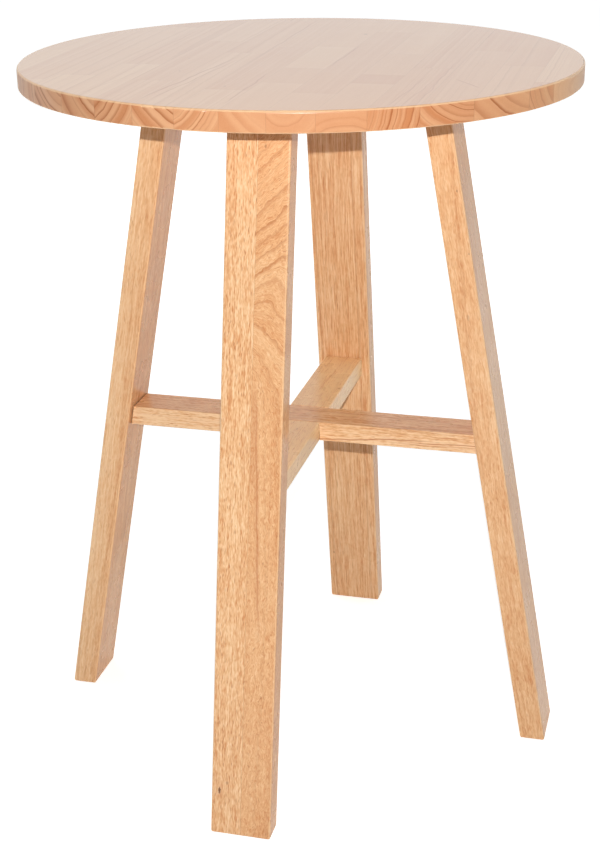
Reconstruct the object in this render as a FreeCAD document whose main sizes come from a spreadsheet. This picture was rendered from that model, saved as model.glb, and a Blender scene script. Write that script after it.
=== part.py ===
"""Round bar table: a glued stave top on four splayed legs tied by two crosses of halved rails.

Frame: origin on the floor under the middle of the table, X to the right, Y to the back, Z up.
The legs stand on the X and Y axes, and the staves of the top run from front to back.
"""
import FreeCAD, Part
import math
import os
import Sketcher

doc = FreeCAD.newDocument("RoundBarTable")
sheet = doc.addObject("Spreadsheet::Sheet", "Sizes")

# Driving dimensions in millimetres
SIZES = [
    # the whole table and its top
    ("TableHeight", 1050.0),
    ("TopDiameter", 800.0),
    ("TopThickness", 28.0),
    ("TopEdgeRound", 3.5),
    ("TopUnderRound", 2.5),
    # a stave's width as a share of the top's diameter
    ("StaveWidthShare", 0.072875),
    # legs, from the table's axis to the leg's outer face, at the floor and under the top
    ("FootReach", 398.0),
    ("HeadReach", 218.0),
    ("LegWidth", 89.0),
    ("LegThickness", 38.0),
    ("LegArris", 3.0),
    # rails of both crosses
    ("RailWidth", 63.0),
    ("RailThickness", 30.0),
    ("RailArris", 1.8),
    ("LowerRailHeight", 505.0),
    ("LapClearance", 0.6),
    # dowels that hold each rail end to its leg
    ("DowelDiameter", 10.0),
    ("DowelGauge", 32.0),
    ("DowelInLeg", 22.0),
    ("DowelInRail", 28.0),
    ("DowelChamfer", 1.0),
    ("DowelClearance", 0.1),
    ("DowelEndGap", 0.5),
    # countersunk wood screws
    ("ScrewHeadDiameter", 9.0),
    ("ScrewShankDiameter", 5.0),
    ("ScrewHeadRim", 0.6),
    ("ScrewPoint", 4.0),
    ("ScrewSocketWidth", 3.0),
    ("ScrewSocketDepth", 2.2),
    ("ScrewClearance", 0.1),
    ("TopScrewGauge", 32.0),
    ("TopScrewBite", 18.0),
    ("CrossScrewBite", 11.0),
    # how far a cutting shape runs past what it cuts
    ("Overrun", 6.0),
]
for row, (alias, value) in enumerate(SIZES, start=1):
    sheet.set(f"A{row}", alias)
    sheet.set(f"B{row}", str(value))
    sheet.setAlias(f"B{row}", alias)
doc.recompute()


def size(alias):
    """The number that the sheet holds under this alias."""
    return float(sheet.get(alias))


# Places that several pieces share, as expressions on the sheet
UNDERSIDE = "(Sizes.TableHeight - Sizes.TopThickness)"
SLOPE = f"((Sizes.FootReach - Sizes.HeadReach) / {UNDERSIDE})"
LEG_SPAN = f"(Sizes.LegThickness * sqrt(1 + {SLOPE} ^ 2))"
RAIL_TOPS = {"lower": "Sizes.LowerRailHeight", "upper": UNDERSIDE}
STAVE_WIDTH = "(Sizes.TopDiameter * Sizes.StaveWidthShare)"
# the screws into the top stand in the middle of the second stave from the centre joint
TOP_SCREW_REACH = f"({STAVE_WIDTH} * 3 / 2)"


def leg_inner_face(height):
    """Distance from the table's axis to a leg's inner face at this height."""
    return f"(Sizes.FootReach - {LEG_SPAN} - {SLOPE} * ({height}))"


def rail_underside(cross):
    return f"({RAIL_TOPS[cross]} - Sizes.RailThickness)"


def rail_middle(cross):
    return f"({RAIL_TOPS[cross]} - Sizes.RailThickness / 2)"


def new_body(label):
    body = doc.addObject("PartDesign::Body", label)
    body.Label = label
    return body


def datum(body, role):
    """One of the body's own origin planes or axes, by its role."""
    return next(item for item in body.Origin.OriginFeatures if item.Role == role)


def new_sketch(body, role, across=None, up=None, out=None):
    """A sketch on an origin plane of the body, shifted in the plane and along its normal."""
    sketch = body.newObject("Sketcher::SketchObject", "Sketch")
    sketch.AttachmentSupport = [(datum(body, role), "")]
    sketch.MapMode = "FlatFace"
    for letter, expression in (("x", across), ("y", up), ("z", out)):
        if expression:
            sketch.setExpression(f"AttachmentOffset.Base.{letter}", expression)
    return sketch


def place_point(sketch, curve, point, across, up):
    """Tie one point of a sketch to expressions for its two coordinates."""
    for kind, expression in (("DistanceX", across), ("DistanceY", up)):
        start = sketch.evalExpression(expression)
        index = sketch.addConstraint(Sketcher.Constraint(kind, -1, 1, curve, point, start))
        sketch.setExpression(f"Constraints[{index}]", expression)


def draw_outline(sketch, corners, rounds=()):
    """A closed outline through corners, each a pair of expressions, counter-clockwise if rounded.

    Its sides are straight, apart from the sides whose numbers are keys of rounds. Each of those
    is a quarter round that bulges outward, with the expression for its radius as the value.
    """
    rounds = dict(rounds)
    count = len(corners)
    places = []
    for across, up in corners:
        places.append(FreeCAD.Vector(sketch.evalExpression(across), sketch.evalExpression(up), 0))
    for number, place in enumerate(places):
        side = places[(number + 1) % count] - place
        if number in rounds:
            inward = FreeCAD.Vector(-side.y, side.x, 0)
            centre = place + (side + inward) / 2
            circle = Part.Circle(centre, FreeCAD.Vector(0, 0, 1), (place - centre).Length)
            angle = math.atan2(place.y - centre.y, place.x - centre.x)
            sketch.addGeometry(Part.ArcOfCircle(circle, angle, angle + math.pi / 2), False)
        else:
            sketch.addGeometry(Part.LineSegment(place, place + side), False)
    for number in range(count):
        joint = Sketcher.Constraint("Coincident", number, 2, (number + 1) % count, 1)
        sketch.addConstraint(joint)
    for number, (across, up) in enumerate(corners):
        place_point(sketch, number, 1, across, up)
    for number, radius in rounds.items():
        start = sketch.Geometry[number].Radius
        index = sketch.addConstraint(Sketcher.Constraint("Radius", number, start))
        sketch.setExpression(f"Constraints[{index}]", radius)


def draw_circle(sketch, across, up, diameter):
    """A circle tied to expressions for its centre and diameter."""
    upright = FreeCAD.Vector(0, 0, 1)
    curve = sketch.addGeometry(Part.Circle(FreeCAD.Vector(), upright, 1.0), False)
    place_point(sketch, curve, 3, across, up)
    index = sketch.addConstraint(Sketcher.Constraint("Diameter", curve, 2.0))
    sketch.setExpression(f"Constraints[{index}]", diameter)


def pad(body, sketch, length, midplane=False, flip=False):
    feature = body.newObject("PartDesign::Pad", "Pad")
    feature.Profile = sketch
    feature.setExpression("Length", length)
    feature.Midplane = midplane
    feature.Reversed = flip
    doc.recompute()
    return feature


def pocket(body, sketch, length=None, midplane=False, flip=False):
    """Cut the sketch out of the body, through everything unless a length is given."""
    before = body.Shape.Volume
    feature = body.newObject("PartDesign::Pocket", "Pocket")
    feature.Profile = sketch
    if length:
        feature.setExpression("Length", length)
    else:
        feature.Type = "ThroughAll"
    feature.Midplane = midplane
    feature.Reversed = flip
    doc.recompute()
    if not body.Shape.Volume < before:
        raise RuntimeError(f"{feature.Label} in {body.Label} cuts nothing")
    return feature


def revolve(body, sketch, axis, cut=False):
    """Turn the sketch round one of its own axes, as a solid or as a cut."""
    kind = "Groove" if cut else "Revolution"
    feature = body.newObject(f"PartDesign::{kind}", kind)
    feature.Profile = sketch
    feature.ReferenceAxis = (sketch, [axis])
    feature.Angle = 360
    doc.recompute()
    return feature


def round_edges(body, feature, radius, keep_sharp):
    """Round every edge of the feature, apart from those for which keep_sharp is true."""
    names = []
    for number, edge in enumerate(feature.Shape.Edges, start=1):
        if not keep_sharp(edge):
            names.append(f"Edge{number}")
    fillet = body.newObject("PartDesign::Fillet", "Fillet")
    fillet.Base = (feature, names)
    fillet.setExpression("Radius", radius)
    doc.recompute()
    return fillet


def repeat(body, originals, mirrors=(), turns=0):
    """Copy features across origin planes and then round the table's axis."""
    steps = []
    multi = body.newObject("PartDesign::MultiTransform", "Repeat")
    multi.Originals = originals
    for role in mirrors:
        mirror = doc.addObject("PartDesign::Mirrored", "Mirror")
        body.addObject(mirror)
        mirror.MirrorPlane = (datum(body, role), [""])
        steps.append(mirror)
    if turns:
        polar = doc.addObject("PartDesign::PolarPattern", "Polar")
        body.addObject(polar)
        polar.Axis = (datum(body, "Z_Axis"), [""])
        polar.Angle = 360
        polar.Occurrences = turns
        steps.append(polar)
    multi.Transformations = steps
    body.Tip = multi
    doc.recompute()
    return multi


def lies_at(edge, axis, place):
    """Whether the whole edge lies in the plane where this coordinate has this value."""
    box = edge.BoundBox
    low, high = {"y": (box.YMin, box.YMax), "z": (box.ZMin, box.ZMax)}[axis]
    tolerance = size("LegArris") / 100
    return abs(low - place) < tolerance and abs(high - place) < tolerance


def draw_screw(sketch, head, tip, clearance="0"):
    """Half section of a countersunk screw about the sketch's upright axis.

    With a clearance it is the hole that the screw goes into.
    """
    head_radius = f"(Sizes.ScrewHeadDiameter / 2 + {clearance})"
    shank_radius = f"(Sizes.ScrewShankDiameter / 2 + {clearance})"
    cone_base = f"({head} + Sizes.ScrewHeadRim)"
    cone_top = f"({cone_base} + {head_radius} - {shank_radius})"
    draw_outline(sketch, [
        ("0", head),
        (head_radius, head),
        (head_radius, cone_base),
        (shank_radius, cone_top),
        (shank_radius, f"({tip} - Sizes.ScrewPoint)"),
        ("0", f"({tip} + {clearance})"),
    ])


def cut_screw_hole(body, head, tip, across=None, out=None):
    sketch = new_sketch(body, "XZ_Plane", across=across, out=out)
    draw_screw(sketch, head, tip, "Sizes.ScrewClearance")
    return revolve(body, sketch, "V_Axis", cut=True)


def make_screws(label, head, tip, across=None, out=None, side="0"):
    """One countersunk screw with a square socket in its head."""
    body = new_body(label)
    sketch = new_sketch(body, "XZ_Plane", across=across, out=out)
    draw_screw(sketch, head, tip)
    shank = revolve(body, sketch, "V_Axis")
    half = "Sizes.ScrewSocketWidth / 2"
    centre = across or "0"
    socket_sketch = new_sketch(body, "XY_Plane", out=head)
    draw_outline(socket_sketch, [
        (f"{centre} - {half}", f"{side} - {half}"),
        (f"{centre} + {half}", f"{side} - {half}"),
        (f"{centre} + {half}", f"{side} + {half}"),
        (f"{centre} - {half}", f"{side} + {half}"),
    ])
    socket = pocket(body, socket_sketch, length="Sizes.ScrewSocketDepth", flip=True)
    return body, [shank, socket]


# The head and tip of the screws that hold the top, and of the one that holds the lower cross
TOP_SCREW_HEAD = rail_underside("upper")
TOP_SCREW_TIP = f"({UNDERSIDE} + Sizes.TopScrewBite)"
TOP_SCREW_OUT = "(0 - Sizes.TopScrewGauge / 2)"
CROSS_SCREW_HEAD = rail_underside("lower")
CROSS_SCREW_TIP = f"({rail_middle('lower')} + Sizes.CrossScrewBite)"


def make_top_blank():
    """The glued board after it is routed round, softened at its rim and drilled for screws."""
    body = new_body("top_blank")
    sketch = new_sketch(body, "XZ_Plane")
    rim = "Sizes.TopDiameter / 2"
    surface = "Sizes.TableHeight"
    profile = [
        ("0", UNDERSIDE),
        (f"{rim} - Sizes.TopUnderRound", UNDERSIDE),
        (rim, f"{UNDERSIDE} + Sizes.TopUnderRound"),
        (rim, f"{surface} - Sizes.TopEdgeRound"),
        (f"{rim} - Sizes.TopEdgeRound", surface),
        ("0", surface),
    ]
    draw_outline(sketch, profile, rounds={1: "Sizes.TopUnderRound", 3: "Sizes.TopEdgeRound"})
    revolve(body, sketch, "V_Axis")
    hole = cut_screw_hole(body, TOP_SCREW_HEAD, TOP_SCREW_TIP, TOP_SCREW_REACH, TOP_SCREW_OUT)
    repeat(body, [hole], mirrors=["XZ_Plane"], turns=4)
    return body


def make_staves():
    """The staves of the top, left to right: each is what the round blank keeps of one board."""
    blank = make_top_blank()
    half_count = math.ceil(1 / (2 * size("StaveWidthShare")))
    staves = []
    for number in range(-half_count, half_count):
        board = doc.addObject("Part::Box", "Board")
        board.setExpression("Length", STAVE_WIDTH)
        board.setExpression("Width", "Sizes.TopDiameter")
        board.setExpression("Height", "Sizes.TopThickness + 2 * Sizes.Overrun")
        board.setExpression("Placement.Base.x", f"{STAVE_WIDTH} * {number}")
        board.setExpression("Placement.Base.y", "0 - Sizes.TopDiameter / 2")
        board.setExpression("Placement.Base.z", f"{UNDERSIDE} - Sizes.Overrun")
        stave = doc.addObject("Part::Common", "Stave")
        stave.Base = board
        stave.Tool = blank
        stave.Label = f"top_stave_{number + half_count + 1:02d}"
        staves.append(stave)
    doc.recompute()
    return staves


def cut_dowel_holes(body, cross, start, length=None):
    """The two dowel holes of one joint, bored outward from a plane across the table."""
    sketch = new_sketch(body, "YZ_Plane", out=start)
    bore = "Sizes.DowelDiameter + 2 * Sizes.DowelClearance"
    for side in ("Sizes.DowelGauge / 2", "0 - Sizes.DowelGauge / 2"):
        draw_circle(sketch, side, rail_middle(cross), bore)
    return pocket(body, sketch, length=length, flip=True)


def make_leg(label, turn, board="whole"):
    """A leg on the X axis, turned to its place: sawn level at the floor and under the top.

    A leg glued up from two boards is made one board at a time, split on its centre line.
    """
    body = new_body(label)
    sketch = new_sketch(body, "XZ_Plane")
    draw_outline(sketch, [
        (f"Sizes.FootReach - {LEG_SPAN}", "0"),
        ("Sizes.FootReach", "0"),
        ("Sizes.HeadReach", UNDERSIDE),
        (f"Sizes.HeadReach - {LEG_SPAN}", UNDERSIDE),
    ])
    if board == "whole":
        blank = pad(body, sketch, "Sizes.LegWidth", midplane=True)
    else:
        blank = pad(body, sketch, "Sizes.LegWidth / 2", flip=board == "right")
    head = size("TableHeight") - size("TopThickness")

    def keep_sharp(edge):
        on_glue_line = board != "whole" and lies_at(edge, "y", 0)
        return on_glue_line or lies_at(edge, "z", head)

    round_edges(body, blank, "Sizes.LegArris", keep_sharp)
    for cross in ("lower", "upper"):
        start = leg_inner_face(rail_middle(cross)) + " - Sizes.LegThickness / 2"
        depth = "Sizes.LegThickness / 2 + Sizes.DowelInLeg + Sizes.DowelEndGap"
        cut_dowel_holes(body, cross, start, depth)
    body.Placement.Rotation = FreeCAD.Rotation(FreeCAD.Vector(0, 0, 1), turn)
    return body


def make_rail(label, cross, turn, notch):
    """A rail along the X axis, turned to its place.

    Its ends follow the slope of the legs, and a notch halves it where it crosses its partner.
    """
    top = RAIL_TOPS[cross]
    bottom = rail_underside(cross)
    middle = rail_middle(cross)
    body = new_body(label)
    sketch = new_sketch(body, "XZ_Plane")
    draw_outline(sketch, [
        (f"0 - {leg_inner_face(bottom)}", bottom),
        (leg_inner_face(bottom), bottom),
        (leg_inner_face(top), top),
        (f"0 - {leg_inner_face(top)}", top),
    ])
    blank = pad(body, sketch, "Sizes.RailWidth", midplane=True)
    round_edges(body, blank, "Sizes.RailArris", lambda edge: False)

    notch_half = "(Sizes.RailWidth / 2 + Sizes.LapClearance)"
    notch_end = f"({top} + Sizes.Overrun)" if notch == "top" else f"({bottom} - Sizes.Overrun)"
    notch_sketch = new_sketch(body, "XZ_Plane")
    draw_outline(notch_sketch, [
        (f"0 - {notch_half}", middle),
        (notch_half, middle),
        (notch_half, notch_end),
        (f"0 - {notch_half}", notch_end),
    ])
    pocket(body, notch_sketch, midplane=True)

    start = f"{leg_inner_face(middle)} - Sizes.DowelInRail - Sizes.DowelEndGap"
    holes = cut_dowel_holes(body, cross, start)
    repeat(body, [holes], mirrors=["YZ_Plane"])
    if cross == "upper":
        hole = cut_screw_hole(body, TOP_SCREW_HEAD, TOP_SCREW_TIP, TOP_SCREW_REACH, TOP_SCREW_OUT)
        repeat(body, [hole], mirrors=["XZ_Plane", "YZ_Plane"])
    else:
        cut_screw_hole(body, CROSS_SCREW_HEAD, CROSS_SCREW_TIP)
    body.Placement.Rotation = FreeCAD.Rotation(FreeCAD.Vector(0, 0, 1), turn)
    return body


def make_dowels():
    """Two chamfered dowels in each of the eight joints between a rail and a leg."""
    body = new_body("rail_dowels")
    radius = "Sizes.DowelDiameter / 2"
    chamfer = "Sizes.DowelChamfer"
    pegs = []
    for cross in ("lower", "upper"):
        middle = rail_middle(cross)
        joint = leg_inner_face(middle)
        inner = f"({joint} - Sizes.DowelInRail)"
        outer = f"({joint} + Sizes.DowelInLeg)"
        sketch = new_sketch(body, "XZ_Plane", up=middle, out="0 - Sizes.DowelGauge / 2")
        draw_outline(sketch, [
            (inner, "0"),
            (outer, "0"),
            (outer, f"{radius} - {chamfer}"),
            (f"{outer} - {chamfer}", radius),
            (f"{inner} + {chamfer}", radius),
            (inner, f"{radius} - {chamfer}"),
        ])
        pegs.append(revolve(body, sketch, "H_Axis"))
    repeat(body, pegs, mirrors=["XZ_Plane"], turns=4)
    return body


# Legs: only the front one shows a glue line, so only it is two boards
nodes = make_staves()
nodes += [
    make_leg("front_leg_left_board", -90, board="left"),
    make_leg("front_leg_right_board", -90, board="right"),
    make_leg("right_leg", 0),
    make_leg("back_leg", 90),
    make_leg("left_leg", 180),
]

# Crosses: the left-right rail lies on top of the front-back rail in both
nodes += [
    make_rail("lower_rail_left_right", "lower", 0, notch="bottom"),
    make_rail("lower_rail_front_back", "lower", 90, notch="top"),
    make_rail("upper_rail_left_right", "upper", 0, notch="bottom"),
    make_rail("upper_rail_front_back", "upper", 90, notch="top"),
]

# Fixings
nodes.append(make_dowels())
top_screws, screw_features = make_screws(
    "top_screws", TOP_SCREW_HEAD, TOP_SCREW_TIP,
    across=TOP_SCREW_REACH, out=TOP_SCREW_OUT, side="Sizes.TopScrewGauge / 2",
)
repeat(top_screws, screw_features, mirrors=["XZ_Plane"], turns=4)
cross_screw, _ = make_screws("lower_cross_screw", CROSS_SCREW_HEAD, CROSS_SCREW_TIP)
nodes += [top_screws, cross_screw]
doc.recompute()

for item in doc.Objects:
    if any(state in ("Invalid", "Error") for state in item.State):
        raise RuntimeError(f"{item.Label} did not build: {item.State}")
os.makedirs("parts", exist_ok=True)
for node in nodes:
    if node.Shape.isNull() or not node.Shape.isValid() or not node.Shape.Solids:
        raise RuntimeError(f"{node.Label} has no valid shape")
    node.Shape.exportStep(f"parts/{node.Label}.step")
    print(f"{node.Label}: {len(node.Shape.Solids)} solids, {node.Shape.Volume / 1000:.1f} cm3")
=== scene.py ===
"""Round bar table: pale rubberwood under clear lacquer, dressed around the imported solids."""
import math

import bpy
from mathutils import Matrix, Vector

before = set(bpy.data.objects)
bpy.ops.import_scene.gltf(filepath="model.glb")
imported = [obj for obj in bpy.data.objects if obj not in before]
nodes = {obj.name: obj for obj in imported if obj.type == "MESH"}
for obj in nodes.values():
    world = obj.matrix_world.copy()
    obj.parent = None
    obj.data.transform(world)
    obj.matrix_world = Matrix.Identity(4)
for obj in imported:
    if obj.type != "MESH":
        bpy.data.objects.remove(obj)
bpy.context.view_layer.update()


# ---------------------------------------------------------------------------------------------
# Front leg. Two rubberwood boards glued edge to edge down the middle, sawn level at the floor and
# under the top, with eased arrises. The left board is full of open pores and the right one has a
# sweeping figure in its upper third. Clear satin lacquer covers both.

def node(tree, kind, feeds=None, **settings):
    """A shader node with its settings made, and each input in feeds joined or set to a value."""
    made = tree.nodes.new("ShaderNode" + kind)
    for name, value in settings.items():
        setattr(made, name, value)
    for name, value in (feeds or {}).items():
        if isinstance(value, bpy.types.NodeSocket):
            tree.links.new(value, made.inputs[name])
        else:
            made.inputs[name].default_value = value
    return made


def calc(tree, operation, *values, clamp=False):
    """One step of arithmetic on numbers."""
    feeds = dict(enumerate(values))
    return node(tree, "Math", feeds, operation=operation, use_clamp=clamp).outputs[0]


def vector_calc(tree, operation, *values):
    """One step of arithmetic on vectors."""
    made = node(tree, "VectorMath", dict(enumerate(values)), operation=operation)
    return made.outputs["Value" if operation == "LENGTH" else "Vector"]


def vector(tree, x, y, z):
    """A vector put together from three numbers."""
    return node(tree, "CombineXYZ", {"X": x, "Y": y, "Z": z}).outputs[0]


def parts_of(tree, value):
    """The three numbers of a vector."""
    return node(tree, "SeparateXYZ", {0: value}).outputs


def scaled(tree, value, factor):
    """A vector made longer or shorter."""
    return node(tree, "VectorMath", {0: value, "Scale": factor}, operation="SCALE").outputs["Vector"]


def ramp_between(tree, value, low, high, start=0.0, end=1.0):
    """A smooth step of a value: start below low, end above high."""
    feeds = {"Value": value, "From Min": low, "From Max": high, "To Min": start, "To Max": end}
    return node(tree, "MapRange", feeds, interpolation_type="SMOOTHSTEP").outputs[0]


def noise(tree, place, scale, detail=2.0, roughness=0.5, dimensions="3D"):
    """Smooth noise with scale waves to the metre, or to one step of a plain number."""
    feeds = {"W" if dimensions == "1D" else "Vector": place}
    feeds.update({"Scale": scale, "Detail": detail, "Roughness": roughness})
    return node(tree, "TexNoise", feeds, noise_dimensions=dimensions)


def stretched_noise(tree, place, waves, detail=2.0, roughness=0.5):
    """Smooth noise with its own number of waves to the metre along each axis."""
    drawn = vector_calc(tree, "MULTIPLY", place, waves)
    return noise(tree, drawn, 1.0, detail, roughness).outputs


def mix_colour(tree, share, under, over, blend="MIX"):
    """A share of one colour laid over another."""
    made = node(tree, "Mix", {0: share, 6: under, 7: over}, data_type="RGBA", blend_type=blend)
    return made.outputs[2]


def new_group(name, takes, gives):
    """A shader node group: takes maps each input to its starting value, gives names its outputs."""
    tree = bpy.data.node_groups.new(name, "ShaderNodeTree")
    for label, value in takes.items():
        kind = "Float" if isinstance(value, (int, float)) else "Vector" if len(value) == 3 else "Color"
        socket = tree.interface.new_socket(label, in_out="INPUT", socket_type="NodeSocket" + kind)
        socket.default_value = value
    for label, kind in gives.items():
        tree.interface.new_socket(label, in_out="OUTPUT", socket_type="NodeSocket" + kind)
    return tree, tree.nodes.new("NodeGroupInput").outputs, tree.nodes.new("NodeGroupOutput").inputs


def use_group(tree, group, feeds):
    """Place a shared group in a tree with values of its own, and give its outputs."""
    return node(tree, "Group", feeds, node_tree=group).outputs


def make_growth_rings():
    """Growth rings round a board's heart, as the solid wood has them, so ends and faces agree.

    Place is in the board: x through its thickness, y across its width, z along it. Heart is where
    the tree's centre passes at z = 0 and Lean how it slants. Bend adds to the distance from it,
    and so does Push round a knot. Follow is how closely the fibres keep to the rings.
    """
    tree, take, give = new_group(
        "growth rings",
        {"Place": (0, 0, 0), "Heart": (0, 0, 0), "Lean": (0, 0, 0), "Bend": 0.0, "Ring Width": 0.008,
         "Wobble": 0.004, "Ripple": 0.0, "Push": 0.0, "Follow": 0.0, "Seed": 0.0},
        {"Line": "Float", "Band": "Float", "Grain": "Vector"},
    )
    slant = scaled(tree, take["Lean"], parts_of(tree, take["Place"])[2])
    centre = vector_calc(tree, "ADD", take["Heart"], slant)

    shift = vector(tree, take["Seed"], take["Seed"], take["Seed"])
    shifted = vector_calc(tree, "ADD", take["Place"], shift)
    sways = []
    for waves, detail, amount in (((9, 9, 2.2), 1.0, "Wobble"), ((70, 70, 50), 2.0, "Ripple")):
        sway = stretched_noise(tree, shifted, waves, detail)["Color"]
        sway = vector_calc(tree, "SUBTRACT", sway, (0.5, 0.5, 0.5))
        sways.append(scaled(tree, sway, take[amount]))
    sway = vector_calc(tree, "ADD", *sways)

    grain = vector_calc(tree, "ADD", vector_calc(tree, "SUBTRACT", take["Place"], centre), sway)
    flat = vector_calc(tree, "LENGTH", vector_calc(tree, "MULTIPLY", grain, (1, 1, 0)))
    pushed = calc(tree, "ADD", calc(tree, "ADD", flat, take["Push"]), take["Bend"])
    rings = calc(tree, "DIVIDE", pushed, take["Ring Width"])
    rings = calc(tree, "ADD", rings, take["Seed"])
    uneven = noise(tree, rings, 0.42, 1.0, dimensions="1D").outputs["Fac"]
    widest_change = 1.1
    rings = calc(tree, "MULTIPLY_ADD", calc(tree, "SUBTRACT", uneven, 0.5), widest_change, rings)

    # each line darkens over the second half of its ring and ends at once, some far fainter
    starts, darkest, faintest = 0.45, 0.95, 0.15
    phase = calc(tree, "FRACT", rings)
    number = calc(tree, "FLOOR", rings)
    chance = node(tree, "TexWhiteNoise", {"W": number}, noise_dimensions="1D").outputs["Value"]
    rising = calc(tree, "POWER", ramp_between(tree, phase, starts, darkest), 2.0)
    line = calc(tree, "MULTIPLY", rising, ramp_between(tree, phase, darkest, 1.0, 1.0, 0.0))
    strong = calc(tree, "MULTIPLY_ADD", calc(tree, "POWER", chance, 1.6), 1.0 - faintest, faintest)
    tree.links.new(calc(tree, "MULTIPLY", line, strong), give["Line"])
    tree.links.new(noise(tree, rings, 0.75, 1.0, dimensions="1D").outputs["Fac"], give["Band"])

    straight = vector_calc(tree, "ADD", grain, centre)
    across = calc(tree, "SUBTRACT", pushed, parts_of(tree, straight)[1])
    aside = vector(tree, 0.0, calc(tree, "MULTIPLY", across, take["Follow"]), 0.0)
    tree.links.new(vector_calc(tree, "ADD", straight, aside), give["Grain"])
    return tree


def make_open_pores():
    """The vessels of the wood cut open: short dark dashes along a face, dots on an end."""
    tree, take, give = new_group(
        "open pores",
        {"Grain": (0, 0, 0), "Width": 0.0009, "Length": 0.012, "Share": 0.5, "Seed": 0.0},
        {"Mask": "Float"},
    )
    # one pore at most stands in each cell, which is wider and longer than the pore
    cell_widths, cell_lengths = 3.0, 1.7
    across = calc(tree, "MULTIPLY", take["Width"], cell_widths)
    along = calc(tree, "MULTIPLY", take["Length"], cell_lengths)
    cell = vector_calc(tree, "DIVIDE", take["Grain"], vector(tree, across, across, along))
    cell = vector_calc(tree, "ADD", cell, vector(tree, take["Seed"], 0.0, take["Seed"]))
    spots = node(tree, "TexVoronoi", {"Vector": cell, "Scale": 1.0}).outputs
    chance = node(tree, "SeparateColor", {0: spots["Color"]}).outputs
    dash = ramp_between(tree, spots["Distance"], 0.16, 0.36, 1.0, 0.0)
    rows = stretched_noise(tree, take["Grain"], (280, 280, 9), 1.0)["Fac"]
    share = calc(tree, "MULTIPLY_ADD", calc(tree, "SUBTRACT", rows, 0.5), 2.0, take["Share"])
    open_here = calc(tree, "LESS_THAN", chance[0], share)
    depth = calc(tree, "MULTIPLY_ADD", chance[1], 0.7, 0.3)
    mask = calc(tree, "MULTIPLY", calc(tree, "MULTIPLY", dash, open_here), depth)
    tree.links.new(mask, give["Mask"])
    return tree


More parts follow.
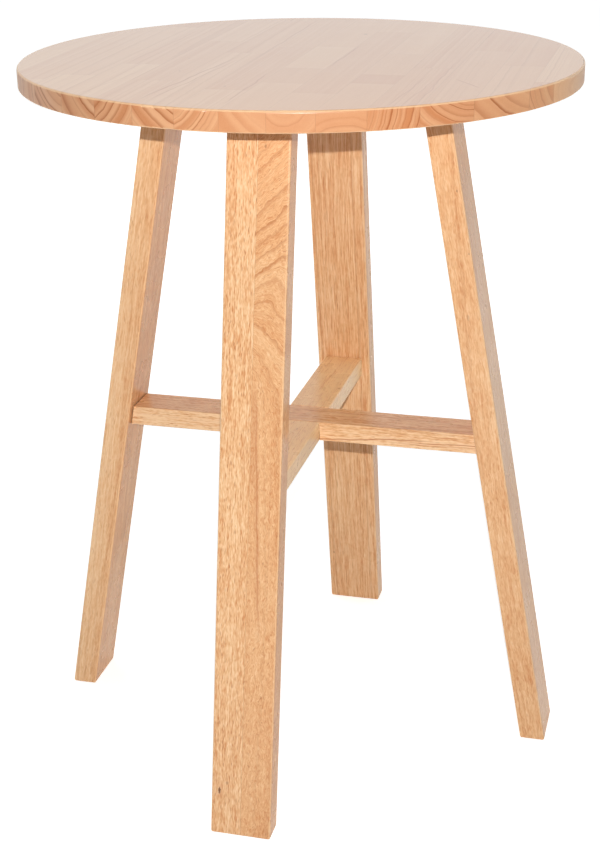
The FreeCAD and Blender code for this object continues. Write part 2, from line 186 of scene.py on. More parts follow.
def make_rubberwood(rings_group, pores_group):
    """Rubberwood as a whole: ring lines, bands, long fibres and pores, in colour and in height.

    Tone moves the colour from Pale by Middle to Deep. Depth Shade adds to it with the depth below
    the board's outer face: painted shade on the faces that lie deeper. Lines, Bands, Fibres,
    Flecks, Blotches and Pores are strengths.
    """
    tree, take, give = new_group(
        "rubberwood",
        {"Place": (0, 0, 0), "Heart": (0, 0, 0), "Lean": (0, 0, 0), "Bend": 0.0, "Ring Width": 0.008,
         "Wobble": 0.004, "Ripple": 0.003, "Push": 0.0, "Follow": 0.0, "Seed": 0.0, "Tone": 0.0,
         "Depth Shade": 0.0, "Lines": 0.5, "Bands": 0.5, "Fibres": 0.5, "Flecks": 0.5, "Blotches": 0.5,
         "End Grain": 0.0, "Pores": 0.5, "Pore Share": 0.5, "Pore Width": 0.0008,
         "Pore Length": 0.007, "Pale": (0.88, 0.60, 0.355, 1), "Middle": (0.775, 0.455, 0.23, 1),
         "Deep": (0.62, 0.27, 0.105, 1), "Line Colour": (0.45, 0.16, 0.05, 1),
         "Pore Colour": (0.38, 0.11, 0.03, 1)},
        {"Color": "Color", "Height": "Float"},
    )
    passed = ("Place", "Heart", "Lean", "Bend", "Ring Width", "Wobble", "Ripple", "Push", "Follow",
              "Seed")
    rings = use_group(tree, rings_group, {name: take[name] for name in passed})
    shift = vector(tree, take["Seed"], take["Seed"], take["Seed"])
    grain = vector_calc(tree, "ADD", rings["Grain"], shift)

    def streaks(waves, detail):
        fac = stretched_noise(tree, grain, waves, detail, 0.6)["Fac"]
        return calc(tree, "SUBTRACT", fac, 0.5)

    fine = streaks((540, 540, 20), 2.0)
    broad = streaks((110, 110, 2.6), 3.0)
    blotch = streaks((16, 16, 5), 2.0)
    fleck = streaks((640, 640, 110), 1.0)
    fibres = calc(tree, "MULTIPLY_ADD", broad, 0.8, calc(tree, "MULTIPLY", fine, 2.6))
    # painted shade: the colour deepens with the depth below the board's outer face
    full_depth = 0.03
    depth = calc(tree, "DIVIDE", parts_of(tree, take["Place"])[0], -full_depth)
    tone = calc(tree, "ADD", take["Tone"], 0.5)
    tone = calc(tree, "MULTIPLY_ADD", depth, take["Depth Shade"], tone)
    # bands and lines stand out more where the wood is cut across
    end_bands = calc(tree, "MULTIPLY_ADD", take["End Grain"], 2.0, 1.0)
    end_lines = calc(tree, "MULTIPLY_ADD", take["End Grain"], 3.5, 1.0)
    bands = calc(tree, "MULTIPLY", take["Bands"], end_bands)
    tone = calc(tree, "MULTIPLY_ADD", calc(tree, "SUBTRACT", rings["Band"], 0.5), bands, tone)
    tone = calc(tree, "MULTIPLY_ADD", fibres, take["Fibres"], tone)
    tone = calc(tree, "MULTIPLY_ADD", fleck, take["Flecks"], tone)
    tone = calc(tree, "MULTIPLY_ADD", blotch, take["Blotches"], tone, clamp=True)

    to_middle = calc(tree, "MULTIPLY", tone, 2.0, clamp=True)
    to_deep = calc(tree, "MULTIPLY_ADD", tone, 2.0, -1.0, clamp=True)
    colour = mix_colour(tree, to_middle, take["Pale"], take["Middle"])
    colour = mix_colour(tree, to_deep, colour, take["Deep"])
    dark = calc(tree, "MULTIPLY", rings["Line"], take["Lines"])
    dark = calc(tree, "MULTIPLY", dark, end_lines, clamp=True)
    colour = mix_colour(tree, dark, colour, take["Line Colour"])
    pores = use_group(tree, pores_group, {
        "Grain": grain, "Width": take["Pore Width"], "Length": take["Pore Length"],
        "Share": take["Pore Share"], "Seed": take["Seed"]})["Mask"]
    colour = mix_colour(tree, calc(tree, "MULTIPLY", pores, take["Pores"]), colour, take["Pore Colour"])
    height = calc(tree, "MULTIPLY_ADD", pores, -0.4, calc(tree, "MULTIPLY", fine, 0.5))
    end_tint = (0.88, 0.80, 0.83, 1)
    soaked = mix_colour(tree, 1.0, colour, end_tint, "MULTIPLY")
    colour = mix_colour(tree, take["End Grain"], colour, soaked)
    tree.links.new(colour, give["Color"])
    tree.links.new(height, give["Height"])
    return tree


def make_knot():
    """A small knot: its dark core, the stained wood round it, and how far it pushes the rings."""
    tree, take, give = new_group(
        "small knot",
        {"Place": (0, 0, 0), "Centre": (0, 0, 0), "Radius": 0.003, "Stretch": 2.0},
        {"Core": "Float", "Halo": "Float", "Push": "Float"},
    )
    away = vector_calc(tree, "SUBTRACT", take["Place"], take["Centre"])
    squeeze = calc(tree, "DIVIDE", 1.0, take["Stretch"])
    away = vector_calc(tree, "MULTIPLY", away, vector(tree, 1.0, 1.0, squeeze))
    reach = calc(tree, "DIVIDE", vector_calc(tree, "LENGTH", away), take["Radius"])
    ragged = noise(tree, take["Place"], 500.0, 2.0).outputs["Fac"]
    reach = calc(tree, "MULTIPLY_ADD", calc(tree, "SUBTRACT", ragged, 0.5), 0.9, reach)
    halo = ramp_between(tree, reach, 0.6, 4.0, 1.0, 0.0)
    tree.links.new(ramp_between(tree, reach, 0.5, 1.1, 1.0, 0.0), give["Core"])
    tree.links.new(halo, give["Halo"])
    furthest = calc(tree, "MULTIPLY", take["Radius"], 1.6)
    tree.links.new(calc(tree, "MULTIPLY", halo, furthest), give["Push"])
    return tree


def make_gum_streak():
    """A long dark streak along the board between two heights, wavering and fading at its ends."""
    tree, take, give = new_group(
        "gum streak",
        {"Place": (0, 0, 0), "Side": 0.0, "Low": 0.0, "High": 1.0, "Width": 0.0012, "Slant": 0.0},
        {"Mask": "Float"},
    )
    parts = parts_of(tree, take["Place"])
    run = calc(tree, "SUBTRACT", parts[2], take["Low"])
    line = calc(tree, "MULTIPLY_ADD", run, take["Slant"], take["Side"])
    waver = stretched_noise(tree, take["Place"], (0, 0, 11))["Fac"]
    widest_swing = 0.012
    line = calc(tree, "MULTIPLY_ADD", calc(tree, "SUBTRACT", waver, 0.5), widest_swing, line)
    off = calc(tree, "ABSOLUTE", calc(tree, "SUBTRACT", parts[1], line))
    off = calc(tree, "DIVIDE", off, take["Width"])
    width = ramp_between(tree, off, 0.2, 1.0, 1.0, 0.0)
    share = calc(tree, "DIVIDE", run, calc(tree, "SUBTRACT", take["High"], take["Low"]))
    begins = ramp_between(tree, share, 0.0, 0.25)
    fades = ramp_between(tree, share, 0.75, 1.0, 1.0, 0.0)
    length = calc(tree, "MULTIPLY", begins, fades)
    tree.links.new(calc(tree, "MULTIPLY", width, length), give["Mask"])
    return tree


def make_glue_and_gap_shadow_line():
    """A thin dark line where the board ends, at a distance from a plane across one of its axes."""
    # used for dark glued joints, and for painted shadow in the gaps where the rails meet the legs
    tree, take, give = new_group(
        "glue line", {"Distance": 0.0, "Place": 0.0, "Width": 0.0005}, {"Mask": "Float"})
    gap = calc(tree, "ABSOLUTE", calc(tree, "SUBTRACT", take["Distance"], take["Place"]))
    share = calc(tree, "DIVIDE", gap, take["Width"])
    tree.links.new(ramp_between(tree, share, 0.5, 1.0, 1.0, 0.0), give["Mask"])
    return tree


def new_material(name):
    """A new material with its node tree and its one shader."""
    material = bpy.data.materials.new(name)
    material.use_nodes = True
    return material, material.node_tree, material.node_tree.nodes["Principled BSDF"]


knot_group = make_knot()
streak_group = make_gum_streak()
glue_and_gap_shadow_group = make_glue_and_gap_shadow_line()
wood_group = make_rubberwood(make_growth_rings(), make_open_pores())
KNOT_BROWN = (0.20, 0.075, 0.028, 1)
STAIN = (0.62, 0.27, 0.12, 1)
GUM_BROWN = (0.46, 0.15, 0.05, 1)
# the colour of dark glued joints, and of the painted shadow in the gaps where the rails meet the legs
GLUE_AND_GAP_SHADOW_BROWN = (0.20, 0.08, 0.03, 1)
# the paler colour of the eased edges: their sanded wood, and a painted highlight along them
SANDED_AND_HIGHLIGHT = (0.95, 0.66, 0.38, 1)


def swing(tree, along, bend):
    """How far the grain swings aside along a board, from (height, distance) pairs up it.

    The curve takes and gives shares from 0 to 1: of the longest board, and of the widest swing
    with none at 0.5.
    """
    longest, widest = 1.1, 1.0
    made = node(tree, "FloatCurve", {"Value": calc(tree, "DIVIDE", along, longest)})
    points = made.mapping.curves[0].points
    places = [(height / longest, distance / widest + 0.5) for height, distance in bend]
    points[0].location, points[-1].location = places[0], places[-1]
    for place in places[1:-1]:
        points.new(*place)
    made.mapping.update()
    return calc(tree, "MULTIPLY", calc(tree, "SUBTRACT", made.outputs[0], 0.5), widest)


def square_arris(tree, facing):
    """The eased edges of a square board, which face none of its three directions squarely."""
    # the mask of the paler eased edges: a painted highlight along them as well as their sanded wood
    squarely = calc(tree, "MAXIMUM", calc(tree, "MAXIMUM", facing[0], facing[1]), facing[2])
    return ramp_between(tree, squarely, 0.80, 0.98, 0.45, 0.0)


def timber(name, spot, turn, look, knots=(), streaks=(), side_streaks=(), glue_and_gap_shadow=(), bend=(),
           shallow=None, vary=None, arris=square_arris, relief=0.25, roughness=(0.24, 0.32)):
    """A lacquered rubberwood material for a board that lies at spot, turned by turn in degrees.

    knots are (x, y, z, radius, stretch, strength), streaks (side, low, high, width, slant,
    strength) and glue_and_gap_shadow (axis, slope, place, width, strength), all in the board; these
    last are dark glued joints and the painted shadow in the gaps where the rails meet the legs.
    side_streaks are streaks whose side is counted through the thickness. bend is as in swing, and
    shallow the depth at which the ring lines have faded. vary gives the parts of the look that
    change along the board, and arris the mask of its eased edges, painted paler as sanded wood
    and as a painted highlight. roughness is the lacquer's, lowest and highest.
    """
    material, tree, shader = new_material(name)
    turn = [math.radians(angle) for angle in turn]
    where = node(tree, "TexCoord").outputs["Object"]
    normal = node(tree, "NewGeometry").outputs["Normal"]
    place = node(tree, "Mapping", {"Vector": where, "Location": spot, "Rotation": turn},
                 vector_type="TEXTURE").outputs[0]
    axes = parts_of(tree, place)
    facing = node(tree, "Mapping", {"Vector": normal, "Rotation": turn}, vector_type="TEXTURE")
    facing = parts_of(tree, vector_calc(tree, "ABSOLUTE", facing.outputs[0]))

    feeds = dict(look, Place=place)
    feeds["End Grain"] = ramp_between(tree, facing[2], 0.25, 0.75)
    found = []
    for x, y, z, radius, stretch, strength in knots:
        knot = use_group(tree, knot_group, {
            "Place": place, "Centre": (x, y, z), "Radius": radius, "Stretch": stretch})
        found.append((knot, strength))
        feeds["Push"] = calc(tree, "ADD", feeds.get("Push", 0.0), knot["Push"])
    if bend:
        feeds["Bend"] = swing(tree, axes[2], bend)
    if shallow:
        lines = look["Lines"]
        feeds["Lines"] = ramp_between(tree, axes[0], -shallow, 0.0, 0.1 * lines, lines)
    if vary:
        feeds.update(vary(tree, axes[2]))
    wood = use_group(tree, wood_group, feeds)

    colour = wood["Color"]
    marks = [(place, streak) for streak in streaks]
    if side_streaks:
        turned = vector(tree, axes[1], axes[0], axes[2])
        marks += [(turned, streak) for streak in side_streaks]
    for across, (side, low, high, width, slant, strength) in marks:
        mask = use_group(tree, streak_group, {
            "Place": across, "Side": side, "Low": low, "High": high, "Width": width,
            "Slant": slant})["Mask"]
        colour = mix_colour(tree, calc(tree, "MULTIPLY", mask, strength), colour, GUM_BROWN)
    for knot, strength in found:
        halo = calc(tree, "MULTIPLY", knot["Halo"], 0.35 * strength)
        core = calc(tree, "MULTIPLY", knot["Core"], strength)
        colour = mix_colour(tree, halo, colour, STAIN)
        colour = mix_colour(tree, core, colour, KNOT_BROWN)
    # dark glued joints, and painted shadow in the gaps where the rails meet the legs
    for axis, slope, position, width, strength in glue_and_gap_shadow:
        distance = calc(tree, "MULTIPLY_ADD", axes[0], -slope, axes[axis])
        mask = use_group(tree, glue_and_gap_shadow_group, {
            "Distance": distance, "Place": position, "Width": width})["Mask"]
        colour = mix_colour(tree, calc(tree, "MULTIPLY", mask, strength), colour, GLUE_AND_GAP_SHADOW_BROWN)
    # the eased edges made paler: painted highlight, and the sanded wood there
    colour = mix_colour(tree, arris(tree, facing), colour, SANDED_AND_HIGHLIGHT)
    tree.links.new(colour, shader.inputs["Base Color"])

    cloudy = noise(tree, where, 14.0, 3.0).outputs["Fac"]
    tree.links.new(ramp_between(tree, cloudy, 0.3, 0.7, *roughness), shader.inputs["Roughness"])
    bump = node(tree, "Bump", {"Strength": relief, "Distance": 0.00025, "Height": wood["Height"]})
    tree.links.new(bump.outputs[0], shader.inputs["Normal"])
    shader.inputs["IOR"].default_value = 1.40
    return material


def dress(name, material):
    """Give a carried-over piece its one material."""
    piece = nodes[name]
    piece.data.materials.clear()
    piece.data.materials.append(material)


FOOT_REACH = 0.398
HEAD_REACH = 0.218
UNDERSIDE = 1.022
LEG_SLOPE = math.degrees(math.atan((FOOT_REACH - HEAD_REACH) / UNDERSIDE))


def leg_place(turn):
    """Where a leg's board lies: x out through its thickness, y across, z up along it."""
    angle = math.radians(turn)
    foot = (FOOT_REACH * math.cos(angle), FOOT_REACH * math.sin(angle), 0.0)
    return foot, (0.0, -LEG_SLOPE, turn)


spot, turn = leg_place(-90)
dress("front_leg_left_board", timber(
    "front leg, left board", spot, turn,
    {"Heart": (-0.150, -0.060, 0.0), "Lean": (0.004, 0.006, 0.0), "Ring Width": 0.0075,
     "Wobble": 0.010, "Seed": 3.1, "Tone": 0.0, "Lines": 0.20, "Bands": 0.15, "Fibres": 0.7,
     "Flecks": 2.1, "Blotches": 0.35, "Pores": 0.85, "Pore Share": 0.6, "Pore Width": 0.0006,
     "Pore Length": 0.0075},
    knots=[(0.0, -0.0325, 0.067, 0.0022, 2.6, 0.95), (0.0, -0.021, 0.080, 0.0026, 1.2, 0.35)],
    glue_and_gap_shadow=[(1, 0.0, 0.0, 0.0005, 0.2)],
))
dress("front_leg_right_board", timber(
    "front leg, right board", spot, turn,
    {"Heart": (-0.012, -0.3765, 0.0), "Lean": (0.0, 0.50, 0.0), "Ring Width": 0.0226,
     "Wobble": 0.014, "Ripple": 0.016, "Follow": 1.0, "Seed": 69.6, "Tone": 0.12, "Lines": 0.68,
     "Bands": 0.45, "Fibres": 0.25, "Flecks": 1.4, "Blotches": 0.35, "Pores": 0.6, "Pore Share": 0.35},
    knots=[(0.0, 0.010, 0.985, 0.0020, 1.5, 0.4)],
    streaks=[(0.0185, 0.26, 0.70, 0.0065, -0.032, 0.22), (0.0185, 0.28, 0.68, 0.0018, -0.032, 0.5),
             (0.003, 0.50, 0.68, 0.006, 0.0, 0.25), (0.030, 0.30, 0.60, 0.0015, 0.0, 0.2)],
    glue_and_gap_shadow=[(1, 0.0, 0.0, 0.0005, 0.2)],
    bend=[(0.0, -0.433), (0.60, -0.133), (0.66, -0.097), (0.70, -0.055), (0.735, -0.005),
          (0.77, 0.050), (0.80, 0.078), (1.03, 0.216)],
    shallow=0.012, relief=0.1,
))


# ---------------------------------------------------------------------------------------------
# Right, back and left leg. One board of rubberwood each, of the same size as the front leg and
# finished in the same way; their figure runs straight and plain.

spot, turn = leg_place(0)
dress("right_leg", timber(
    "right leg", spot, turn,
    {"Heart": (-0.090, 0.080, 0.0), "Lean": (0.012, -0.030, 0.0), "Ring Width": 0.009,
     "Wobble": 0.016, "Ripple": 0.006, "Seed": 12.4, "Tone": 0.02, "Lines": 0.25, "Bands": 0.25,
     "Fibres": 0.65, "Flecks": 0.9, "Blotches": 0.5, "Pores": 0.4, "Pore Share": 0.4,
     "Pore Width": 0.0006, "Pore Length": 0.010},
    knots=[(-0.007, -0.0445, 0.8927, 0.0015, 1.5, 0.5), (-0.0034, -0.0445, 0.8004, 0.0013, 1.5, 0.5),
           (-0.0188, -0.0445, 0.7063, 0.0024, 2.4, 0.25)],
    relief=0.1,
))
spot, turn = leg_place(90)
dress("back_leg", timber(
    "back leg", spot, turn,
    {"Heart": (-0.090, -0.190, 0.0), "Lean": (0.002, 0.004, 0.0), "Ring Width": 0.0105,
     "Wobble": 0.008, "Ripple": 0.0015, "Seed": 21.9, "Tone": -0.02, "Lines": 0.42, "Bands": 0.3,
     "Fibres": 0.95, "Flecks": 0.8, "Blotches": 0.25, "Pores": 0.6, "Pore Share": 0.5,
     "Pore Width": 0.0006, "Pore Length": 0.018},
    knots=[(-0.038, 0.0355, 0.1063, 0.0016, 1.8, 0.45)],
))
spot, turn = leg_place(180)
# Depth Shade paints shade on this leg's inner face, deepening its colour there
dress("left_leg", timber(
    "left leg", spot, turn,
    {"Heart": (-0.085, -0.010, 0.0), "Lean": (0.030, 0.008, 0.0), "Ring Width": 0.009,
     "Wobble": 0.012, "Seed": 33.3, "Tone": -0.35, "Depth Shade": 0.32, "Lines": 0.35, "Bands": 0.3,
     "Fibres": 0.6, "Flecks": 0.9, "Blotches": 0.3, "Pores": 0.5, "Pore Share": 0.45,
     "Pore Width": 0.0006, "Pore Length": 0.010},
))


# ---------------------------------------------------------------------------------------------
# Lower cross. Two rails of 63 by 30 mm rubberwood, halved over each other in the middle, with
# every arris eased, and doweled and glued to the legs' inner faces.

RAIL_MIDDLE = {"lower": 0.490, "upper": 1.007}
LEG_THICKNESS = 0.038


def rail_end_gap_shadows(height):
    """The thin dark lines where a rail's two slanted ends meet the legs.

    The lines are painted shadow in the gaps of the joints. The second is the left or front end, where
    the joint is wider and its painted shadow darker.
    """
    slope = (FOOT_REACH - HEAD_REACH) / UNDERSIDE
    reach = FOOT_REACH - slope * height - LEG_THICKNESS / math.cos(math.atan(slope))
    return [(2, slope, reach, 0.0018, 0.5), (2, -slope, -reach, 0.0028, 1.0)]


# Depth Shade paints shade on this rail, deeper on its upper face and paler on its lower one
dress("lower_rail_left_right", timber(
    "lower rail, left to right", (0.0, 0.0, RAIL_MIDDLE["lower"]), (0.0, 90.0, 0.0),
    {"Heart": (0.045, -0.012, 0.0), "Lean": (0.020, 0.010, 0.0), "Ring Width": 0.007,
     "Wobble": 0.008, "Seed": 41.2, "Tone": -0.28, "Depth Shade": 0.35, "Lines": 0.40, "Bands": 0.22,
     "Fibres": 1.2, "Flecks": 1.6, "Blotches": 0.3, "Pores": 0.6, "Pore Share": 0.5,
     "Pore Width": 0.0006, "Pore Length": 0.008},
    side_streaks=[(0.0066, 0.14, 0.40, 0.0013, -0.030, 0.75),
                  (0.0092, 0.12, 0.40, 0.0010, -0.018, 0.6),
                  (0.0160, -0.02, 0.22, 0.0014, -0.070, 0.8)],
    glue_and_gap_shadow=rail_end_gap_shadows(RAIL_MIDDLE["lower"]),
))
dress("lower_rail_front_back", timber(
    "lower rail, front to back", (0.0, 0.0, RAIL_MIDDLE["lower"]), (0.0, 90.0, 90.0),
    {"Heart": (0.060, 0.030, 0.0), "Lean": (0.006, 0.004, 0.0), "Ring Width": 0.009,
     "Wobble": 0.006, "Seed": 47.5, "Tone": -0.55, "Lines": 0.25, "Bands": 0.30, "Fibres": 0.8,
     "Flecks": 1.2, "Blotches": 0.25, "Pores": 0.4, "Pore Share": 0.35, "Pore Width": 0.0006,
     "Pore Length": 0.010, "Pale": (0.95, 0.67, 0.37, 1)},
    knots=[(-0.015, 0.0195, 0.2186, 0.0016, 1.5, 0.5), (-0.015, -0.027, 0.119, 0.0018, 1.5, 0.5),
           (-0.015, -0.005, -0.065, 0.0016, 2.0, 0.4)],
    glue_and_gap_shadow=rail_end_gap_shadows(RAIL_MIDDLE["lower"]), relief=0.08,
))


# ---------------------------------------------------------------------------------------------
# Upper cross. The same two rails again, shorter, up against the underside of the top, which is
# screwed to them from below.

dress("upper_rail_left_right", timber(
    "upper rail, left to right", (0.0, 0.0, RAIL_MIDDLE["upper"]), (0.0, 90.0, 0.0),
    {"Heart": (0.050, 0.020, 0.0), "Lean": (0.010, 0.012, 0.0), "Ring Width": 0.008,
     "Wobble": 0.008, "Seed": 53.8, "Tone": 0.0, "Lines": 0.4, "Bands": 0.45, "Fibres": 0.5,
     "Blotches": 0.3, "Pores": 0.5, "Pore Share": 0.45},
))
dress("upper_rail_front_back", timber(
    "upper rail, front to back", (0.0, 0.0, RAIL_MIDDLE["upper"]), (0.0, 90.0, 90.0),
    {"Heart": (0.055, -0.025, 0.0), "Lean": (0.012, 0.006, 0.0), "Ring Width": 0.0085,
     "Wobble": 0.008, "Seed": 59.1, "Tone": 0.04, "Lines": 0.4, "Bands": 0.45, "Fibres": 0.5,
     "Blotches": 0.3, "Pores": 0.5, "Pore Share": 0.45},
))


# ---------------------------------------------------------------------------------------------
# Rail dowels. Turned hardwood pegs, two in each rail end, glued half in the rail and half in the
# leg. They are bare wood with a fine straight grain along the peg.

def make_dowel_wood():
    """Bare wood whose grain runs along the peg, left to right or front to back by its place."""
    material, tree, shader = new_material("bare dowel wood")
    where = node(tree, "TexCoord").outputs["Object"]
    x, y, z = parts_of(tree, where)
    on_x_rail = calc(tree, "GREATER_THAN", calc(tree, "ABSOLUTE", x), calc(tree, "ABSOLUTE", y))
    along_y, along_x = vector(tree, z, x, y), vector(tree, z, y, x)
    place = node(tree, "Mix", {0: on_x_rail, 4: along_y, 5: along_x}, data_type="VECTOR")
    wood = use_group(tree, wood_group, {
        "Place": place.outputs[1], "Heart": (0.0, 0.03, 0.0), "Ring Width": 0.002, "Wobble": 0.001,
        "Seed": 65.0, "Lines": 0.3, "Bands": 0.3, "Fibres": 0.5, "Blotches": 0.2, "Pores": 0.3,
        "Pale": (0.80, 0.66, 0.47, 1), "Middle": (0.72, 0.55, 0.36, 1), "Deep": (0.58, 0.40, 0.24, 1)})
    tree.links.new(wood["Color"], shader.inputs["Base Color"])
    bump = node(tree, "Bump", {"Strength": 0.6, "Distance": 0.0002, "Height": wood["Height"]})
    tree.links.new(bump.outputs[0], shader.inputs["Normal"])
    shader.inputs["Roughness"].default_value = 0.72
    return material


dress("rail_dowels", make_dowel_wood())


# ---------------------------------------------------------------------------------------------
# Screws. Zinc-plated countersunk wood screws with a square socket: eight go up through the upper
# cross into the top, and one holds the lower crossing together.

def make_zinc_plate():
    """Bright zinc with a faint bloom, and the ridges of the thread along the shank."""
    material, tree, shader = new_material("zinc-plated steel")
    where = node(tree, "TexCoord").outputs["Object"]
    bright, dull = (0.74, 0.74, 0.73, 1), (0.62, 0.60, 0.54, 1)
    bloom = noise(tree, where, 260.0, 3.0).outputs["Fac"]
    colour = mix_colour(tree, ramp_between(tree, bloom, 0.3, 0.7), bright, dull)
    tree.links.new(colour, shader.inputs["Base Color"])
    tree.links.new(ramp_between(tree, bloom, 0.3, 0.7, 0.28, 0.42), shader.inputs["Roughness"])
    half_pitch = 0.0009
    thread = calc(tree, "PINGPONG", parts_of(tree, where)[2], half_pitch)
    thread = calc(tree, "MULTIPLY", thread, 1000.0)
    bump = node(tree, "Bump", {"Strength": 0.8, "Distance": 0.0005, "Height": thread})
    tree.links.new(bump.outputs[0], shader.inputs["Normal"])
    shader.inputs["Metallic"].default_value = 1.0
    return material


zinc_plate = make_zinc_plate()
dress("top_screws", zinc_plate)
dress("lower_cross_screw", zinc_plate)


# ---------------------------------------------------------------------------------------------
# Top. Fourteen rubberwood staves glued edge to edge, front to back, and routed to a round 28 mm
# thick with a softened rim. Each stave is made of shorter lengths finger-jointed end to end, so
# its colour changes at the joints. The lacquer is glossier here than on the legs.

TOP_RADIUS = 0.400
TOP_MIDDLE = 1.036
STAVE_WIDTH = 0.0583
FIRST_STAVE_EDGE = -7 * STAVE_WIDTH
STAVE_LEAN = (0.012, 0.010, 0.0)
# for each stave, left to right: the heart at the front end (right of and above the stave's middle,
# in mm), ring width in mm, the seed of its figure, strength of the lines, and the lengths from front
# to back, each as (where it ends, tone, how far the heart moves in mm)
STAVES = [
    ((60, -10), 9, 70.0, 0.35, [(0.0, 0.02, 0), (0.4, 0.12, 30)]),
    ((200, 20), 8, 73.7, 0.80, [(-0.24, 0.06, 0), (0.4, 0.18, 35)]),
    ((47, 60), 9.4, 77.0, 0.90, [(-0.2, 0.06, 0), (0.25, 0.16, 40), (0.4, 0.32, 15)]),
    ((56, 50), 13, 85.9, 0.95, [(-0.1, 0.08, 0), (0.4, 0.26, 25)]),
    ((-75, 60), 9, 84.8, 0.85, [(-0.22, 0.20, 0), (0.12, 0.28, 40), (0.4, 0.22, 20)]),
    ((60, 62), 11.7, 88.5, 0.90, [(0.02, 0.18, 0), (0.4, 0.26, 35)]),
    ((-60, 52), 5.8, 94.3, 0.55, [(-0.269, 0.14, 0), (0.08, 0.30, 30), (0.4, 0.28, 15)]),
    ((90, 90), 13, 95.9, 0.15,
     [(-0.208, 0.18, 0), (-0.092, 0.28, 20), (0.098, 0.16, 30), (0.4, 0.26, 20)]),
    ((-7, 24), 8, 99.6, 0.20, [(-0.272, 0.22, 0), (0.255, 0.32, 35), (0.4, 0.23, 10)]),
    ((5, -60), 10, 103.3, 0.20,
     [(-0.192, 0.26, 0), (-0.124, 0.42, 25), (0.051, 0.28, 25), (0.4, 0.22, 40)]),
    ((-103, 24), 5.1, 107.3, 0.95, [(-0.06, 0.30, 0), (0.4, 0.32, 25)]),
    ((30, 46), 7, 110.7, 0.75, [(0.1, 0.28, 0), (0.4, 0.36, 30)]),
    ((64, 62), 16.4, 111.4, 1.00, [(-0.02, 0.24, 0), (0.4, 0.30, 30)]),
    ((61, 24), 5, 118.1, 1.20, [(-0.14, 0.34, 0), (0.4, 0.12, 30)]),
]
# the marks that show on the top, by stave: pin knots, and dark lines in the grain
TOP_KNOTS = {
    5: [(-0.014, 0.0073, -0.042, 0.0014, 1.5, 0.5), (-0.014, -0.0128, -0.145, 0.0014, 1.5, 0.5)],
    7: [(-0.014, 0.0089, -0.245, 0.0014, 1.5, 0.5)],
    8: [(-0.014, -0.0159, 0.228, 0.0032, 1.3, 0.5)],
}
TOP_STREAKS = {
    4: [(0.0216, -0.11, 0.23, 0.0016, -0.006, 0.35), (0.0080, -0.15, 0.19, 0.0012, -0.017, 0.25),
        (0.0044, -0.36, -0.13, 0.0012, -0.111, 0.30)],
    6: [(0.0195, 0.345, 0.386, 0.0014, 0.0, 0.8), (-0.0280, -0.05, 0.40, 0.0022, 0.011, 0.40),
        (0.0329, -0.375, 0.0, 0.0022, -0.093, 0.60), (0.0187, -0.375, -0.02, 0.0016, -0.075, 0.50)],
    7: [(-0.0249, -0.375, -0.12, 0.0018, 0.020, 0.55)],
    9: [(0.0264, -0.09, 0.13, 0.0016, 0.0, 0.50)],
    11: [(-0.0240, -0.375, 0.03, 0.0016, 0.0074, 0.45), (0.0107, -0.370, -0.10, 0.0014, -0.050, 0.40),
         (-0.0058, -0.36, -0.16, 0.0012, -0.042, 0.40)],
    12: [(-0.0266, -0.200, -0.134, 0.0018, 0.68, 0.7), (0.0284, 0.20, 0.36, 0.0022, 0.0, 0.35)],
}


def rim_arris(tree, facing):
    """The rounded edges of the rim, between its upright side and the flat faces."""
    # the mask of the paler rounded edges: a painted highlight along them as well as their sanded wood
    rising = ramp_between(tree, facing[0], 0.3, 0.6, 0.0, 0.55)
    return calc(tree, "MULTIPLY", rising, ramp_between(tree, facing[0], 0.8, 0.97, 1.0, 0.0))


def new_lengths(heart, lengths):
    """What changes along a stave from each of its lengths to the next: tone and heart.

    The heart moves aside, and sinks by a share of that.
    """
    sinking = 0.7

    def vary(tree, along):
        tone, moved = lengths[0][1], 0.0
        for (end, tone_before, _), (_, tone_after, shift) in zip(lengths, lengths[1:]):
            past = calc(tree, "GREATER_THAN", along, end)
            tone = calc(tree, "MULTIPLY_ADD", past, tone_after - tone_before, tone)
            moved = calc(tree, "MULTIPLY_ADD", past, shift / 1000, moved)
        across = calc(tree, "ADD", moved, STAVE_LEAN[1] * TOP_RADIUS - heart[0] / 1000)
        down = STAVE_LEAN[0] * TOP_RADIUS - heart[1] / 1000
        down = calc(tree, "MULTIPLY_ADD", moved, sinking, down)
        return {"Tone": tone, "Heart": vector(tree, down, across, 0.0)}

    return vary


def stave_timber(number, heart, ring_width, seed, lines, lengths):
    """The material of one stave, with glossier lacquer on its upper face."""
    middle = FIRST_STAVE_EDGE + (number - 0.5) * STAVE_WIDTH
    sides = [(1, 0.0, side * STAVE_WIDTH / 2, 0.0005, 0.18) for side in (1, -1)]
    joints = [(2, 0.0, end, 0.0005, 0.2) for end, _, _ in lengths[:-1]]
    material = timber(
        f"top stave {number}", (middle, 0.0, TOP_MIDDLE), (0.0, 90.0, 90.0),
        {"Lean": STAVE_LEAN, "Ring Width": ring_width / 1000, "Wobble": 0.006, "Seed": seed,
         "Lines": 0.36 * lines, "Bands": 0.10 + 0.19 * lines, "Fibres": 0.06, "Flecks": 0.06,
         "Blotches": 0.14, "Pores": 0.06, "Pore Share": 0.3},
        knots=TOP_KNOTS.get(number, ()), streaks=TOP_STREAKS.get(number, ()), glue_and_gap_shadow=sides + joints,
        vary=new_lengths(heart, lengths), arris=rim_arris, relief=0.01, roughness=(0.275, 0.285),
    )
    tree = material.node_tree
    shader = tree.nodes["Principled BSDF"]
    upward = parts_of(tree, node(tree, "NewGeometry").outputs["Normal"])[2]
    tree.links.new(ramp_between(tree, upward, 0.85, 0.97, 0.0, 0.56), shader.inputs["Coat Weight"])
    shader.inputs["Coat Roughness"].default_value = 0.10
    return material


for number, stave in enumerate(STAVES, start=1):
    dress(f"top_stave_{number:02d}", stave_timber(number, *stave))


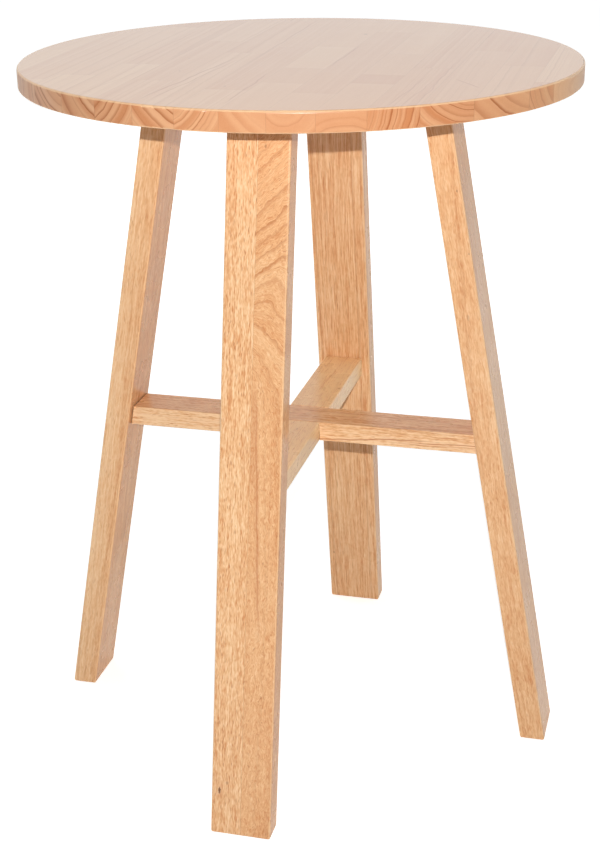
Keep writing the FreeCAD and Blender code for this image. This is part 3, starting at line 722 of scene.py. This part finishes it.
# ---------------------------------------------------------------------------------------------
# Studio. A plain pale floor that keeps the table's shadow, a small lamp just above the camera,
# a soft lamp on each side and an even white surrounding.

FLOOR_SIZE = 44.0
SURROUND = 0.06


def seen_directly(tree):
    """1 for what the camera sees, straight, mirrored or through something, and 0 for bounced light."""
    path = node(tree, "LightPath").outputs
    seen = calc(tree, "MAXIMUM", path["Is Camera Ray"], path["Is Glossy Ray"])
    return calc(tree, "MAXIMUM", seen, path["Is Transmission Ray"])


def put_in_scene(name, data):
    """A new object in the scene for a mesh, lamp or camera."""
    made = bpy.data.objects.new(name, data)
    bpy.context.scene.collection.objects.link(made)
    return made


def make_floor():
    """White paper that glows to the camera, less so where it is mirrored, more far from the table.

    It lights nothing, so the table's shadow on it stays.
    """
    mesh = bpy.data.meshes.new("studio_floor")
    half = FLOOR_SIZE / 2
    corners = [(-half, -half, 0), (half, -half, 0), (half, half, 0), (-half, half, 0)]
    mesh.from_pydata(corners, [], [(0, 1, 2, 3)])
    floor = put_in_scene("studio_floor", mesh)
    material, tree, shader = new_material("white paper floor")
    shader.inputs["Base Color"].default_value = (0.90, 0.90, 0.90, 1)
    shader.inputs["Roughness"].default_value = 0.9
    shader.inputs["Specular IOR Level"].default_value = 0.0
    distance = vector_calc(tree, "LENGTH", node(tree, "NewGeometry").outputs["Position"])
    path = node(tree, "LightPath").outputs
    straight = ramp_between(tree, distance, 0.8, 3.5, 0.55, 0.95)
    straight = calc(tree, "MULTIPLY", straight, path["Is Camera Ray"])
    not_straight = calc(tree, "MAXIMUM", path["Is Glossy Ray"], path["Is Transmission Ray"])
    mirrored = ramp_between(tree, distance, 1.2, 3.2, 0.21, 0.55)
    mirrored = calc(tree, "MULTIPLY", mirrored, not_straight)
    glow = calc(tree, "ADD", straight, mirrored)
    light = node(tree, "Emission", {"Color": (1, 1, 1, 1), "Strength": glow})
    both = node(tree, "AddShader")
    tree.links.new(shader.outputs[0], both.inputs[0])
    tree.links.new(light.outputs[0], both.inputs[1])
    tree.links.new(both.outputs[0], tree.nodes["Material Output"].inputs["Surface"])
    mesh.materials.append(material)


def make_surround():
    """White all round where it is seen, and a faint even light."""
    world = bpy.data.worlds.new("white studio")
    bpy.context.scene.world = world
    world.use_nodes = True
    tree = world.node_tree
    background = tree.nodes["Background"]
    background.inputs["Color"].default_value = (1, 1, 1, 1)
    strength = calc(tree, "MULTIPLY_ADD", seen_directly(tree), 1.0 - SURROUND, SURROUND)
    tree.links.new(strength, background.inputs["Strength"])


def hang_lamp(name, place, aim, size, watts, shape="RECTANGLE", mirrored=False):
    """A flat lamp that the camera can't see, and that lacquer and metal mirror only if mirrored."""
    lamp = bpy.data.lights.new(name, "AREA")
    lamp.shape = shape
    lamp.size, lamp.size_y = size
    lamp.energy = watts
    holder = put_in_scene(name, lamp)
    holder.location = place
    holder.rotation_euler = (Vector(aim) - Vector(place)).to_track_quat("-Z", "Y").to_euler()
    holder.visible_camera = False
    holder.visible_glossy = mirrored


make_floor()
make_surround()
hang_lamp("lamp over camera", (0.575, -2.19, 1.503), (0, 0, 0.6), (0.016, 0.016), 42.4, "DISK",
          mirrored=True)
hang_lamp("soft lamp, right", (3.8, 2.4, 1.1), (0, 0, 0.4), (4.0, 3.0), 65.0)
hang_lamp("soft lamp, overhead", (0.0, 0.0, 4.0), (0, 0, 0.6), (4.0, 4.0), 50.0)
hang_lamp("soft lamp, left", (-3.8, 2.4, 1.1), (0, 0, 0.4), (4.0, 3.0), 130.0)


# ---------------------------------------------------------------------------------------------
# Camera. It stands in front of the table and to the right, a little above the top's height, and
# looks down at the middle of the table.

CAMERA_PLACE = Vector((0.58959, -2.27475, 1.42443))
CAMERA_TURN, CAMERA_TILT, CAMERA_ROLL = 0.2567, 0.38463, 0.01195
PICTURE_WIDTH, FOCAL_PIXELS = 600, 1629.05

forward = Vector((
    -math.sin(CAMERA_TURN) * math.cos(CAMERA_TILT),
    math.cos(CAMERA_TURN) * math.cos(CAMERA_TILT),
    -math.sin(CAMERA_TILT),
))
level = Vector((math.cos(CAMERA_TURN), math.sin(CAMERA_TURN), 0.0))
below = forward.cross(level)
right = math.cos(CAMERA_ROLL) * level + math.sin(CAMERA_ROLL) * below
up = math.sin(CAMERA_ROLL) * level - math.cos(CAMERA_ROLL) * below
camera = bpy.data.cameras.new("camera")
camera.sensor_fit = "HORIZONTAL"
camera.sensor_width = 36.0
camera.lens = FOCAL_PIXELS * camera.sensor_width / PICTURE_WIDTH
stand = put_in_scene("camera", camera)
axes = Matrix((right, up, -forward)).transposed()
stand.matrix_world = Matrix.Translation(CAMERA_PLACE) @ axes.to_4x4()
bpy.context.scene.camera = stand
bpy.context.scene.view_settings.view_transform = "Standard"
